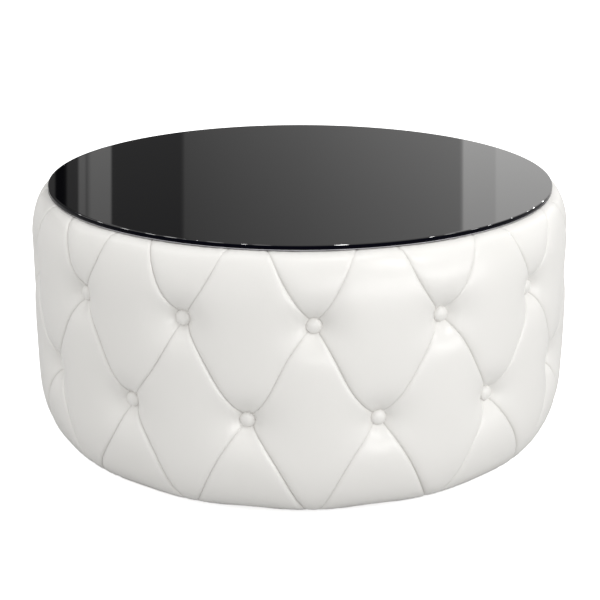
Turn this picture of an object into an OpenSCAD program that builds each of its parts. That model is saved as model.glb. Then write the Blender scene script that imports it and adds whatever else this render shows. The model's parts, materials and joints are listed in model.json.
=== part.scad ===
// Round deep-buttoned ottoman coffee table with a loose glass top.
// Origin: on the floor, in the middle of the table. +Z up, millimetres.

/* [Overall] */
// Diameter over the fullest part of the padded side
body_d = 914; // [820:2:1000]
// Height from the floor to the top of the glass
table_h = 424; // [412:1:480]
// Height of the glides below the upholstery
glide_h = 6; // [4:0.5:12]

/* [Glass top] */
// Diameter of the glass disc
glass_d = 850; // [700:2:870]
// Thickness of the glass
glass_t = 8; // [6:1:12]
// Width of the polished bevel along both edges of the glass
glass_bevel = 1; // [0.5:0.1:2]
// Number of clear bumpers under the glass
bumper_count = 8; // [4:1:12]
// Diameter of a bumper
bumper_d = 14; // [8:1:20]
// Thickness of a bumper
bumper_t = 2; // [1.5:0.1:4]
// Distance from the rim of the top panel to the middle of a bumper
bumper_inset = 34; // [20:1:80]

/* [Tufting] */
// Number of buttons in each of the two rows
button_count = 14; // [10:2:18]
// Angle of the first upper button from the front
button_phase = 2.63; // [0:0.01:12]
// Height of the lower row of buttons above the underside of the upholstery
lower_row_h = 152; // [130:1:160]
// Height from the lower row of buttons to the upper one
row_gap = 149; // [110:1:155]
// Diameter of a covered button
button_d = 24; // [18:1:30]
// Height of a button's dome
button_h = 5.5; // [3:0.1:8]
// Depth from the fullest part of the side to the leather behind a button
dimple_depth = 25; // [15:0.5:30]
// Radius of the hollow that a button pulls into the foam
dimple_r = 75; // [50:1:90]
// Depth of the pleats between the buttons
pleat_depth = 6; // [3:0.5:10]

/* [Upholstery] */
// Thickness of the leatherette
leather_t = 1.2; // [0.8:0.1:2]
// Thickness of the foam round the side at its fullest
side_foam_t = 47; // [40:1:60]
// Height over which it draws in at the bottom
foot_rise = 95; // [60:1:100]
// How far the side draws in from its fullest part to the top roll
head_in = 32; // [20:1:36]
// Height over which it draws in at the top
head_drop = 88; // [60:1:90]
// Thickness of the top panel's foam pad
top_pad_t = 9; // [6:0.5:16]
// Radius of the top pad's edge
pad_round = 6; // [3:0.5:6]
// Width of leatherette turned over and stapled down
turn_in = 22; // [18:1:34]

/* [Frame] */
// Thickness of the plywood of the deck and the base ring
ply_t = 18; // [15:1:24]
// Thickness of the top panel's board
board_t = 6; // [5:0.5:12]
// Width of the base ring
ring_w = 80; // [70:1:120]
// Thickness of the bent hardboard skin
skin_t = 3; // [2.5:0.5:5]
// Number of upright posts
post_count = 7; // [5:1:8]
// Width of a square post
post_w = 40; // [34:1:45]
// Number of battens under the deck
batten_count = 3; // [2:1:4]
// Width of a batten
batten_w = 70; // [50:1:90]
// Thickness of a batten
batten_t = 20; // [15:1:30]
// Distance between the middles of neighbouring battens
batten_gap = 190; // [140:1:200]

/* [Fastenings] */
// Shank diameter of the wood screws
screw_d = 4; // [3:0.5:4.5]
// Length of the screws through the deck and the base ring
screw_l = 45; // [36:1:60]
// Length of the screws through the deck into the battens
batten_screw_l = 28; // [25:1:32]
// Width of a staple's crown
staple_w = 11; // [8:1:13]
// Length of a staple's legs
staple_l = 10; // [6:0.5:12]
// Distance from the edge of a hem to its staples
staple_inset = 8; // [5:0.5:9]
// Thickness of the staple wire
staple_wire = 0.8; // [0.6:0.1:1]
// Number of staples along each turned-over edge
staple_count = 56; // [42:14:84]
// Diameter of the twine behind a button
twine_d = 2; // [1:0.5:3]
// Diameter of the toggle that the twine is tied to
toggle_d = 20; // [14:1:24]
// Thickness of the toggle
toggle_t = 3; // [2:0.5:5]
// Diameter of a glide
glide_d = 30; // [24:1:36]
// Thickness of the dust cover under the base
dust_t = 0.6; // [0.4:0.1:1]
// Distance from the edge of the base ring to the edge of the dust cover
dust_inset = 8; // [5:0.5:12]

/* [Hidden] */

ROUND = 96;          // resolution of large turned forms
FINE = 32;           // resolution of small ones
soft_gap = 0.3;      // between soft or curved faces
fit_gap = 0.2;       // between the skin and the frame it wraps
bore_gap = 0.1;      // round a screw in its hole
skin_joint = 1;      // between the two sheets of the skin
EPS = 0.01;

// Heights, from the floor up
under_z = glide_h;                       // underside of the side cover
frame_z = under_z + leather_t;           // underside of the base ring
ring_top_z = frame_z + ply_t;
glass_z = table_h - glass_t;             // underside of the glass
roll_z = glass_z - bumper_t;             // top of the upholstery
pad_top_z = roll_z - leather_t;
board_top_z = pad_top_z - top_pad_t;
board_z = board_top_z - board_t;
deck_top_z = board_z - 2 * leather_t;    // two hems lie between the deck and the board
deck_z = deck_top_z - ply_t;

// Angles
pitch = 360 / button_count;
chord = cos(pitch / 8);                  // flats of the faceted rings lie this much nearer
// Posts stand midway between neighbouring twines, at about equal distances
function post_angle(k) = button_phase + pitch * (0.25 + round(2 * k * button_count / post_count) / 2);

// Radii, from the outside in
side_r = body_d / 2;
skin_r = side_r - leather_t - side_foam_t;        // outside of the skin
foam_wall_r = (skin_r + soft_gap) / chord;        // inside of the foam
foot_r = foam_wall_r + 1;                         // where the side turns under
frame_r = skin_r - skin_t - fit_gap;              // edge of the deck and the base ring
seam_r = frame_r - 13;                            // where the roll meets the top panel
panel_r = seam_r * chord - soft_gap;              // outside of the top panel
hem_r = seam_r - turn_in;                         // inner edge of the hem on the deck
under_hem_r = frame_r - turn_in;                  // inner edge of the hem under the base
dust_r = frame_r - dust_inset;
post_r = sqrt(pow(frame_r, 2) - pow(post_w / 2, 2)) - post_w / 2;   // middle of a post
bumper_r = panel_r - bumper_inset;
board_screw_r = panel_r - turn_in - 45;
glide_r = frame_r - ring_w + glide_d / 2 + 6;     // glides stand inside the hem

// ---------------------------------------------------------------- outline of the padded side

// Half section from the middle of the underside's curve up to the seam of the top panel
outline = concat(
    [for (a = [-90:7.5:0])
        [foot_r + (side_r - foot_r) * cos(a), under_z + foot_rise * (1 + sin(a))]],
    [for (a = [0:7.5:90])
        [side_r - head_in + head_in * cos(a), roll_z - head_drop * (1 - sin(a))]],
    [[seam_r, roll_z]]);

// Distance along the outline to each of its points
function distances(path, i = 0, d = 0) =
    i == len(path) - 1 ? [d] : concat([d], distances(path, i + 1, d + norm(path[i + 1] - path[i])));
outline_d = distances(outline);
outline_len = outline_d[len(outline) - 1];
radius_table = [for (i = [0:len(outline) - 1]) [outline_d[i], outline[i][0]]];
height_table = [for (i = [0:len(outline) - 1]) [outline_d[i], outline[i][1]]];

function outline_at(d) = [lookup(d, radius_table), lookup(d, height_table)];
// Unit vector into the foam at a distance along the outline
function inward(d) =
    let (step = outline_at(d + 2) - outline_at(d - 2), t = step / norm(step)) [-t[1], t[0]];

// Distance along the outline to a height on the straight part of the side
foot_len = outline_d[12];
function side_distance(h) = foot_len + h - foot_rise;
// The rows that the pleats cross on: underside, lower buttons, upper buttons, seam
row_d = [0, side_distance(lower_row_h), side_distance(lower_row_h + row_gap), outline_len];
row_table = [for (i = [0:3]) [i, row_d[i]]];

// ---------------------------------------------------------------- tufted surface

pitch_len = 2 * PI * side_r / button_count;       // from one button to the next
bands = [row_d[1], row_gap, row_d[3] - row_d[2]];  // lengths between the rows
// The points nearest a button stand just outside it
flat_margin = 1.4;
first_step = (button_d / 2 + flat_margin) / min(bands)
    * max(1, norm([pitch_len / 2, min(bands)]) / pitch_len);
// Places across a panel, from one pleat to the next, an even number of them, closer at the pleats
panel_steps = [0, first_step, 0.25, 0.5, 0.75, 1 - first_step];
N = len(panel_steps);
rows = 3 * N;                      // rows of points from the underside to the seam
ring_n = button_count * N;         // points in each row

// Place along a pleat direction, counted in panels
function place(i) = let (panel = floor(i / N)) panel + panel_steps[i - N * panel];
function to_pleat(x) = let (f = x - floor(x)) min(f, 1 - f);

// Depth of the fold beside a pleat
function fold_depth(x) = pleat_depth * pow(max(0, 1 - to_pleat(x) / 0.3), 2);
// Depth of the hollow at a distance from a button's middle: flat behind the button, then rising
flat_r = 1.02 * first_step * max(pitch_len, norm([pitch_len / 2, max(bands)]));
function hollow_depth(d) =
    let (t = max(0, 1 - max(0, d - flat_r) / (dimple_r - flat_r)))
    (dimple_depth - pleat_depth) * t * t;
// Distance to the nearest button. u and v count panels along the two pleat directions
function to_button(u, v) =
    let (row = u + v, k = (u - v) / 2, near = row < 1.5 ? 1 : 2,
         from_column = k - (near == 1 ? 0.5 : 0),
         aside = from_column - round(from_column))
    norm([aside * pitch_len, lookup(row, row_table) - row_d[near]]);
// The leather lies flat where it is pulled under the base and over the deck
function fade(row) = min(1, row / 0.25, (3 - row) / 0.25);
// Depth of the surface below the fullest outline
function tuft_depth(u, v) =
    let (d = to_button(u, v),
         pleat = d < flat_r ? pleat_depth : max(fold_depth(u), fold_depth(v)))
    fade(u + v) * pleat + hollow_depth(d);

// A point of row r in panels along the two pleat directions. Odd rows sit half a step on
function across(r, j) = let (c = 2 * j + r % 2) [place((r + c) / 2), place((r - c) / 2)];
function ring_angle(uv) = button_phase + pitch * (uv[0] - uv[1]) / 2;
function on_ring(p, a) = [p[0] * sin(a), -p[0] * cos(a), p[1]];

// A point of the tufted surface, at some depth below the leather's face
function tuft_point(r, j, below) =
    let (uv = across(r, j), row = uv[0] + uv[1], d = lookup(row, row_table))
    on_ring(r == rows ? [seam_r + below, roll_z - below]
                      : outline_at(d) + inward(d) * (tuft_depth(uv[0], uv[1]) + below),
            ring_angle(uv));
function tuft_row(r, below) = [for (j = [0:ring_n - 1]) tuft_point(r, j, below)];
// A plain ring of points at a radius and a height, in line with the points of a tufted row
function plain_row(p, like) = [for (j = [0:ring_n - 1]) on_ring(p, ring_angle(across(like, j)))];

// Two triangles between neighbouring points of rows i and k. A row's points may sit half a step on
function strip(i, k, half_i, half_k) =
    [for (j = [0:ring_n - 1])
        let (n = (j + 1) % ring_n, a = i * ring_n + j, b = i * ring_n + n,
             c = k * ring_n + j, d = k * ring_n + n)
        each (half_i == 1 && half_k == 0 ? [[a, d, c], [a, b, d]] : [[a, b, c], [b, d, c]])];

// A tufted ring. The inner rows run on from the seam round the hidden side to the underside
module tufted_ring(below, inner_rows, inner_halves) {
    sections = concat([for (r = [0:rows]) tuft_row(r, below)], inner_rows);
    halves = concat([for (r = [0:rows]) r % 2], inner_halves);
    count = len(sections);
    polyhedron(
        points = [for (s = sections) each s],
        faces = [for (i = [0:count - 1])
                    let (k = (i + 1) % count) each strip(i, k, halves[i], halves[k])],
        convexity = 6);
}

// ---------------------------------------------------------------- repeated forms

// Children at each button of a row, with +Z pointing out of the side from its full outline
module at_buttons(row_h, shift) {
    for (k = [0:button_count - 1])
        rotate([0, 0, button_phase + pitch * (k + shift)])
            translate([0, -side_r, under_z + row_h])
                rotate([90, 0, 0]) children();
}

module at_all_buttons() {
    at_buttons(lower_row_h, 0.5) children();
    at_buttons(lower_row_h + row_gap, 0) children();
}

// Children at each post, with X across the post and -Y pointing out
module at_posts(r = post_r) {
    for (k = [0:post_count - 1]) rotate([0, 0, post_angle(k)]) translate([0, -r, 0]) children();
}

// A countersunk wood screw with its head's face at the origin and its point below.
// With a gap it is the hole for one
module screw(length, gap = 0) {
    cone_h = screw_d / 2;
    translate([0, 0, -length - gap])
        cylinder(r = screw_d / 2 + gap, h = length + gap - cone_h / 2, $fn = FINE);
    translate([0, 0, -cone_h])
        cylinder(r1 = screw_d / 2 + gap, r2 = screw_d + gap, h = cone_h, $fn = FINE);
    if (gap > 0) translate([0, 0, -EPS]) cylinder(r = screw_d + gap, h = 1, $fn = FINE);
}
module screw_up(length, gap = 0) { mirror([0, 0, 1]) screw(length, gap); }

// A staple with its crown's face at the origin, its width along X and its legs below
module staple(leg) {
    translate([-staple_w / 2, -staple_wire / 2, -staple_wire])
        cube([staple_w, staple_wire, staple_wire]);
    for (x = [-staple_w / 2, staple_w / 2 - staple_wire])
        translate([x, -staple_wire / 2, -leg]) cube([staple_wire, staple_wire, leg]);
}

// Staples in a circle, driven up or down, that straddle the first post
module staple_ring(r, z, up, leg = staple_l) {
    for (k = [0:staple_count - 1])
        rotate([0, 0, post_angle(0) + (k + 0.5) * 360 / staple_count])
            translate([0, -r, z]) mirror([0, 0, up ? 1 : 0]) staple(leg);
}

// ---------------------------------------------------------------- glass

module glass_top() {
    r = glass_d / 2;
    color([0.02, 0.02, 0.03])
        rotate_extrude($fn = ROUND)
            polygon([[0, glass_z], [r - glass_bevel, glass_z], [r, glass_z + glass_bevel],
                     [r, table_h - glass_bevel], [r - glass_bevel, table_h], [0, table_h]]);
}

module at_bumpers() {
    for (k = [0:bumper_count - 1])
        rotate([0, 0, (k + 0.5) * 360 / bumper_count]) translate([0, -bumper_r, 0]) children();
}

module glass_bumpers() {
    color([0.9, 0.92, 0.95])
        at_bumpers() translate([0, 0, roll_z])
            cylinder(r1 = bumper_d / 2 - 1, r2 = bumper_d / 2, h = bumper_t, $fn = FINE);
}

// ---------------------------------------------------------------- top panel

// Half section of the top panel's board and pad, grown by some thickness or drawn in at the side
module panel_section(grow, draw_in = 0) {
    r = panel_r - leather_t + grow - draw_in;
    low = board_z - grow;
    shoulder = pad_top_z - pad_round;
    translate([0, low]) square([r, shoulder - low]);
    translate([0, shoulder]) square([r - pad_round - grow, pad_round + grow]);
    translate([r - pad_round - grow, shoulder]) intersection() {
        circle(r = pad_round + grow, $fn = ROUND);
        square(pad_round + grow);
    }
}

module top_cover() {
    color("white")
        rotate_extrude($fn = ROUND) difference() {
            panel_section(leather_t);
            panel_section(0);
            translate([0, board_z - leather_t - 1]) square([panel_r - turn_in, leather_t + 2]);
        }
}

module top_pad() {
    color("khaki")
        rotate_extrude($fn = ROUND) difference() {
            panel_section(0, soft_gap);
            translate([0, board_z - 1]) square([panel_r + 1, board_t + 1]);
        }
}

// Screws come up through the deck and end inside the board
board_screw_l = ply_t + 2 * leather_t + board_t - 1.5;
module at_board_screws() {
    for (k = [0:5]) rotate([0, 0, 60 * k]) translate([board_screw_r, 0, deck_z]) children();
}

module top_board() {
    color("burlywood") difference() {
        translate([0, 0, board_z])
            cylinder(r = panel_r - leather_t - soft_gap, h = board_t, $fn = ROUND);
        at_board_screws() screw_up(board_screw_l, bore_gap);
    }
}

module top_cover_staples() {
    color("silver")
        staple_ring(panel_r - staple_inset, board_z - leather_t, true, leather_t + board_t - 1.5);
}

module board_screws() {
    color("goldenrod") at_board_screws() screw_up(board_screw_l);
}

// ---------------------------------------------------------------- frame

module deck_panel() {
    color("burlywood") difference() {
        translate([0, 0, deck_z]) cylinder(r = frame_r, h = ply_t, $fn = ROUND);
        at_posts() translate([0, 0, deck_top_z]) screw(screw_l, bore_gap);
        at_board_screws() screw_up(board_screw_l, bore_gap);
        at_batten_screws() screw(batten_screw_l, bore_gap);
    }
}

batten_reach = post_r - post_w;       // battens stop clear of the posts
function batten_x(k) = batten_gap * (k - (batten_count - 1) / 2);
function batten_half(k) = sqrt(pow(batten_reach, 2) - pow(abs(batten_x(k)) + batten_w / 2, 2));

module at_batten_screws() {
    for (k = [0:batten_count - 1], s = [-0.6, 0, 0.6])
        translate([batten_x(k), s * batten_half(k), deck_top_z]) children();
}

module deck_battens() {
    color("wheat") difference() {
        for (k = [0:batten_count - 1])
            translate([batten_x(k) - batten_w / 2, -batten_half(k), deck_z - batten_t])
                cube([batten_w, 2 * batten_half(k), batten_t]);
        at_batten_screws() screw(batten_screw_l, bore_gap);
    }
}

module batten_screws() {
    color("goldenrod") at_batten_screws() screw(batten_screw_l);
}

module deck_screws() {
    color("goldenrod") at_posts() translate([0, 0, deck_top_z]) screw(screw_l);
}

module base_screws() {
    color("goldenrod") at_posts() translate([0, 0, frame_z]) screw_up(screw_l);
}

module posts() {
    color("wheat") difference() {
        at_posts() translate([-post_w / 2, -post_w / 2, ring_top_z])
            cube([post_w, post_w, deck_z - ring_top_z]);
        at_posts() translate([0, 0, deck_top_z]) screw(screw_l, bore_gap);
        at_posts() translate([0, 0, frame_z]) screw_up(screw_l, bore_gap);
    }
}

module base_ring() {
    color("burlywood") difference() {
        translate([0, 0, frame_z]) cylinder(r = frame_r, h = ply_t, $fn = ROUND);
        translate([0, 0, frame_z - 1]) cylinder(r = frame_r - ring_w, h = ply_t + 2, $fn = ROUND);
        at_posts() translate([0, 0, frame_z]) screw_up(screw_l, bore_gap);
        at_glides() translate([0, 0, glide_recess]) screw_up(glide_screw_l, bore_gap);
    }
}

module side_skin() {
    height = deck_top_z - frame_z;
    color("sienna") difference() {
        translate([0, 0, frame_z]) cylinder(r = skin_r, h = height, $fn = ROUND);
        translate([0, 0, frame_z - 1])
            cylinder(r = skin_r - skin_t, h = height + 2, $fn = ROUND);
        at_all_buttons() translate([0, 0, skin_r - side_r - 2 * skin_t])
            cylinder(r = twine_d / 2 + 1, h = 4 * skin_t, $fn = FINE);
        // The skin is bent from two sheets that meet on posts
        for (k = [0, floor(post_count / 2)]) rotate([0, 0, post_angle(k)])
            translate([-skin_joint / 2, -skin_r - 1, frame_z - 1])
                cube([skin_joint, skin_t + 2, height + 2]);
    }
}

// Five staples up each post, the lowest in the base ring and the highest in the deck
skin_staple_n = 5;
module skin_staples() {
    low = frame_z + ply_t / 2;
    step = (deck_top_z - frame_z - ply_t) / (skin_staple_n - 1);
    color("silver") at_posts(skin_r) for (i = [0:skin_staple_n - 1])
        translate([0, 0, low + i * step]) rotate([90, 0, 0]) staple(staple_l + skin_t);
}

// ---------------------------------------------------------------- upholstery of the side

module side_foam() {
    below = leather_t + soft_gap;
    over_deck = deck_top_z + soft_gap;
    inner = [plain_row([seam_r + below, over_deck], rows),
             plain_row([foam_wall_r, over_deck], 0),
             plain_row([foam_wall_r, frame_z + soft_gap], 0)];
    color("khaki") tufted_ring(below, inner, [0, 0, 0]);
}

module side_cover() {
    hem_top = deck_top_z + leather_t;
    rim = [plain_row([seam_r, hem_top], rows),
           plain_row([hem_r, hem_top], rows),
           plain_row([hem_r, deck_top_z], rows),
           plain_row([seam_r + leather_t, deck_top_z], rows)];
    back = [for (r = [rows:-1:0]) tuft_row(r, leather_t)];
    hem = [plain_row([under_hem_r, frame_z], 0), plain_row([under_hem_r, under_z], 0)];
    color("white") tufted_ring(0, concat(rim, back, hem),
                               concat([0, 0, 0, 0], [for (r = [rows:-1:0]) r % 2], [0, 0]));
}

module rim_staples() {
    color("silver") staple_ring(hem_r + staple_inset, deck_top_z + leather_t, false);
}

module hem_staples() {
    color("silver") staple_ring(under_hem_r + staple_inset, under_z, true);
}

// A covered button: a dome with a rolled rim
module button_cap() {
    r = button_d / 2;
    rim = min(1.5, button_h / 3);
    dome_h = button_h - rim;
    dome_r = (r * r + dome_h * dome_h) / (2 * dome_h);
    translate([0, 0, button_back]) rotate_extrude($fn = FINE) {
        intersection() {
            translate([0, button_h - dome_r]) circle(r = dome_r, $fn = ROUND);
            translate([0, rim]) square([r, button_h]);
        }
        square([r - rim / 2, rim]);
        translate([r - rim / 2, rim / 2]) circle(r = rim / 2, $fn = FINE);
    }
}

module upper_buttons() {
    color("white") at_buttons(lower_row_h + row_gap, 0) button_cap();
}

module lower_buttons() {
    color("white") at_buttons(lower_row_h, 0.5) button_cap();
}

// Heights along a button's axis, from the full outline of the side
button_back = soft_gap / 3 - dimple_depth;
toggle_face = skin_r - skin_t - soft_gap - side_r;

module button_twines() {
    back = toggle_face - toggle_t;
    color("white") at_all_buttons() {
        translate([0, 0, back]) cylinder(r = twine_d / 2, h = button_back - back, $fn = FINE);
        translate([0, 0, back - twine_d]) sphere(r = 1.1 * twine_d, $fn = FINE);
    }
}

module button_toggles() {
    color("gray") at_all_buttons() translate([0, 0, toggle_face - toggle_t]) difference() {
        cylinder(r = toggle_d / 2, h = toggle_t, $fn = FINE);
        translate([0, 0, -1]) cylinder(r = twine_d / 2 + bore_gap, h = toggle_t + 2, $fn = FINE);
    }
}

// ---------------------------------------------------------------- underside

dust_z = under_z - dust_t;
glide_recess = 2;                                  // heads lie this far inside the glides
glide_screw_l = frame_z + ply_t - glide_recess - 4;
module at_glides() { at_posts(glide_r) children(); }

module dust_cover() {
    color([0.1, 0.1, 0.1]) difference() {
        translate([0, 0, dust_z]) cylinder(r = dust_r, h = dust_t, $fn = ROUND);
        at_glides() translate([0, 0, glide_recess]) screw_up(glide_screw_l, bore_gap);
    }
}

module dust_staples() {
    color("silver") staple_ring(dust_r - 3, dust_z, true);
}

module glides() {
    r = glide_d / 2;
    chamfer = 1.5;
    color([0.15, 0.15, 0.16]) at_glides() difference() {
        rotate_extrude($fn = FINE)
            polygon([[0, 0], [r - chamfer, 0], [r, chamfer], [r, dust_z], [0, dust_z]]);
        translate([0, 0, glide_recess]) screw_up(glide_screw_l, bore_gap);
        translate([0, 0, -1]) cylinder(r = screw_d + bore_gap, h = glide_recess + 1, $fn = FINE);
    }
}

module glide_screws() {
    color("silver") at_glides() translate([0, 0, glide_recess]) screw_up(glide_screw_l);
}

glass_top();
glass_bumpers();
top_cover();
top_pad();
top_board();
top_cover_staples();
board_screws();
deck_panel();
deck_battens();
batten_screws();
deck_screws();
posts();
base_ring();
base_screws();
side_skin();
skin_staples();
side_foam();
side_cover();
rim_staples();
hem_staples();
upper_buttons();
lower_buttons();
button_twines();
button_toggles();
dust_cover();
dust_staples();
glides();
glide_screws();
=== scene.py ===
"""Looks of the round deep-buttoned ottoman coffee table with a loose dark glass top.

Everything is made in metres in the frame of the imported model: origin on the floor in the middle of
the table, +Z up, -Y towards the front. The sizes of the table itself are given in millimetres.
"""
import json
import math

import bpy
import numpy as np
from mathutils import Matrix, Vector


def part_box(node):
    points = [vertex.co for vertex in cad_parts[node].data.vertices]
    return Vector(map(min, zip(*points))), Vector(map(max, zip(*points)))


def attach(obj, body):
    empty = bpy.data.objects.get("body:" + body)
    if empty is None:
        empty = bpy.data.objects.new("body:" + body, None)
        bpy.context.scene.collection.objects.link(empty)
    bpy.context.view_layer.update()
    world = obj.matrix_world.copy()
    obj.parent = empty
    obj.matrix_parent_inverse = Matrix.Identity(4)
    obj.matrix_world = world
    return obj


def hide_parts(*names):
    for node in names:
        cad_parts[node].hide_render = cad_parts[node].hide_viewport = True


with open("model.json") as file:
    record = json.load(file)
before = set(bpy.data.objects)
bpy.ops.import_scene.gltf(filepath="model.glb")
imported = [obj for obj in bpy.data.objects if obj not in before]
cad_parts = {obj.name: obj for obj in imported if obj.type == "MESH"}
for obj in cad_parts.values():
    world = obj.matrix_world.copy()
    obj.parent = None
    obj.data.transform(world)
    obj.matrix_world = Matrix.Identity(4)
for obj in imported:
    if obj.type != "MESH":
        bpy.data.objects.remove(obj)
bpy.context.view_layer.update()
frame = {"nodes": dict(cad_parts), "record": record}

nodes = frame["nodes"]
MM = 0.001
SEED = 412
BODY, GLASS = "ottoman", "glass"

# ---------------------------------------------------------------- camera

FRAME_PX = 600
FOCAL_PX = 1323.0
CAMERA_DISTANCE = 2.3375
CAMERA_ELEVATION = math.radians(18.98)
LOOK_AT_Z = 0.1968


def make_camera():
    data = bpy.data.cameras.new("camera")
    data.sensor_width = 36.0
    data.lens = FOCAL_PX * data.sensor_width / FRAME_PX
    data.clip_start, data.clip_end = 0.05, 100.0
    cam = bpy.data.objects.new("camera", data)
    back = Vector((0, -math.cos(CAMERA_ELEVATION), math.sin(CAMERA_ELEVATION)))
    cam.location = Vector((0, 0, LOOK_AT_Z)) + back * CAMERA_DISTANCE
    cam.rotation_mode = "QUATERNION"
    cam.rotation_quaternion = (-back).to_track_quat("-Z", "Y")
    bpy.context.scene.collection.objects.link(cam)
    bpy.context.scene.camera = cam


make_camera()

# ---------------------------------------------------------------- sizes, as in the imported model

BUTTONS = 14                      # in each row
PHASE = math.radians(2.63)        # angle of the first upper button
PITCH = 2 * math.pi / BUTTONS
UNDER_Z, FRAME_Z, DECK_TOP_Z, PANEL_Z = 6.0, 7.2, 395.4, 414.0
SIDE_R, FOOT_R, FOOT_RISE, HEAD_IN, HEAD_DROP = 457.0, 410.7, 95.0, 32.0, 88.0
SEAM_R, HEM_R, UNDER_HEM_R, FOAM_WALL_R = 392.6, 370.6, 383.6, 409.7
LOWER_H, UPPER_H = 152.0, 301.0   # rows of buttons, above the underside
BUTTON_R = 12.0
BUTTON_BACK, DIMPLE = 24.9, 25.1  # how far in the button's back and the leather behind it lie
LEATHER_T = 1.2
# Only in the scene:
FOOT_FULL = 8.0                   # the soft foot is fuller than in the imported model
UNDER_TURN = 15.0                 # how far the pleats run on under the base
ROLL_R, TUCK_R = 7.0, 2.0         # the roll rounds into the seam, and the seam onto the deck
ROLL_Z = PANEL_Z + 1.5            # the soft roll swells up to just under the glass
PITCH_LEN = SIDE_R * PITCH        # from one button to the next
PANEL_W = 169.0                   # across a panel, square to its pleats

# ---------------------------------------------------------------- outline of the padded side

CURVE_POINTS, ROLL_POINTS, TUCK_POINTS = 46, 12, 5


def outline_points():
    """Half section of the leather's face: from under the base, up the side and over the roll, down
    the seam of the top panel and along the deck."""
    foot_r = FOOT_R + FOOT_FULL
    foot = [(foot_r + (SIDE_R - foot_r) * math.cos(a), UNDER_Z + FOOT_RISE * (1 + math.sin(a)))
            for a in np.radians(np.linspace(-90, 0, CURVE_POINTS))]
    head = [(SIDE_R - HEAD_IN + HEAD_IN * math.cos(a), ROLL_Z - HEAD_DROP * (1 - math.sin(a)))
            for a in np.radians(np.linspace(0, 90, CURVE_POINTS))]
    roll = [(SEAM_R + ROLL_R * (1 - math.cos(a)), ROLL_Z - ROLL_R * (1 - math.sin(a)))
            for a in np.radians(np.linspace(90, 0, ROLL_POINTS))]
    deck = DECK_TOP_Z + LEATHER_T
    tuck = [(SEAM_R - TUCK_R * (1 - math.cos(a)), deck + TUCK_R * (1 - math.sin(a)))
            for a in np.radians(np.linspace(0, 90, TUCK_POINTS))]
    under = [(foot_r - UNDER_TURN, UNDER_Z)]
    return np.array(under + foot + head + roll + tuck + [(HEM_R, deck)])


OUTLINE = outline_points()
OUTLINE_D = np.concatenate([[0], np.cumsum(np.linalg.norm(np.diff(OUTLINE, axis=0), axis=1))])
OUTLINE_D -= UNDER_TURN                       # counted from where the side turns under the base
FOOT_LEN = OUTLINE_D[CURVE_POINTS]            # to the end of the foot
RIM_D = OUTLINE_D[2 * CURVE_POINTS]           # to the top, at the rim of the glass
SEAM_D = OUTLINE_D[2 * CURVE_POINTS + ROLL_POINTS]        # to the end of the roll
ROWS = 0, 1, 2, 2.584, 3                      # underside, both rows of buttons, glass rim, hem
ROW_D = np.array([-UNDER_TURN, FOOT_LEN + LOWER_H - FOOT_RISE, FOOT_LEN + UPPER_H - FOOT_RISE,
                  RIM_D, OUTLINE_D[-1]])
SLOPE_REACH = 3.0                             # the slope is read over this far each way


def outline_at(d):
    """Radius and height at a distance along the outline."""
    return np.interp(d, OUTLINE_D, OUTLINE[:, 0]), np.interp(d, OUTLINE_D, OUTLINE[:, 1])


def inward_at(d):
    """Unit vector into the foam, as its radial and its vertical part."""
    r1, z1 = outline_at(d - SLOPE_REACH)
    r2, z2 = outline_at(d + SLOPE_REACH)
    length = np.hypot(r2 - r1, z2 - z1)
    return -(z2 - z1) / length, (r2 - r1) / length


# ---------------------------------------------------------------- tufted surface

# u and v count panels along the two directions of the pleats: u grows up to the right and v up to
# the left. u + v is the row (0 underside, 1 lower buttons, 2 upper buttons, 3 hem on the deck), and
# a pleat lies at each whole u, leaning to the left as it rises, and at each whole v, leaning to the
# right.


def graded(half):
    """Places across a panel, from distances in mm between a pleat and the panel's middle."""
    f = np.array(half) / PANEL_W
    return np.concatenate([f, [0.5], 1 - f[:0:-1]])


FINE_STEPS = graded([0, 0.8, 1.8, 3, 4.5, 6.2, 8.2, 10.5, 13, 16, 19.5, 24, 30, 38, 48, 60, 72])
FOAM_STEPS = graded([0, 3, 7, 12, 18, 26, 38, 56])


def lattice(steps):
    """u and v of every point, as arrays with a line for each row of points. Odd lines sit half a
    step on."""
    n = len(steps)
    r = np.arange(3 * n + 1)[:, None]
    c = 2 * np.arange(BUTTONS * n)[None, :] + r % 2
    iu, iv = (r + c) // 2, (r - c) // 2
    return iu // n + steps[iu % n], iv // n + steps[iv % n]


def lattice_faces(rows, cols, first=0, flip=False):
    """Quads between the points of lattice(), with triangles along its two edges. Each quad starts
    at its left, so that it is split across and follows the curve of the foot."""
    j = np.arange(cols)
    n = (j + 1) % cols
    at = lambda r, i: first + r * cols + i % cols
    faces = [np.stack([at(0, j), at(0, n), at(1, j)], 1).tolist()]
    for r in range(rows - 2):
        left, right = (j - 1, j) if r % 2 == 0 else (j, j + 1)
        quad = [at(r + 1, left), at(r, j), at(r + 1, right), at(r + 2, j)]
        faces.append(np.stack(quad, 1).tolist())
    faces.append(np.stack([at(rows - 2, j), at(rows - 1, n), at(rows - 1, j)], 1).tolist())
    flat = [f for block in faces for f in block]
    return [f[:1] + f[:0:-1] for f in flat] if flip else flat


def ring_faces(rings, cols):
    """Quads between neighbouring rings of points, given by the index of each ring's first point."""
    j = np.arange(cols)
    n = (j + 1) % cols
    return [f for a, b in zip(rings[:-1], rings[1:])
            for f in np.stack([a + j, a + n, b + n, b + j], 1).tolist()]


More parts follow.
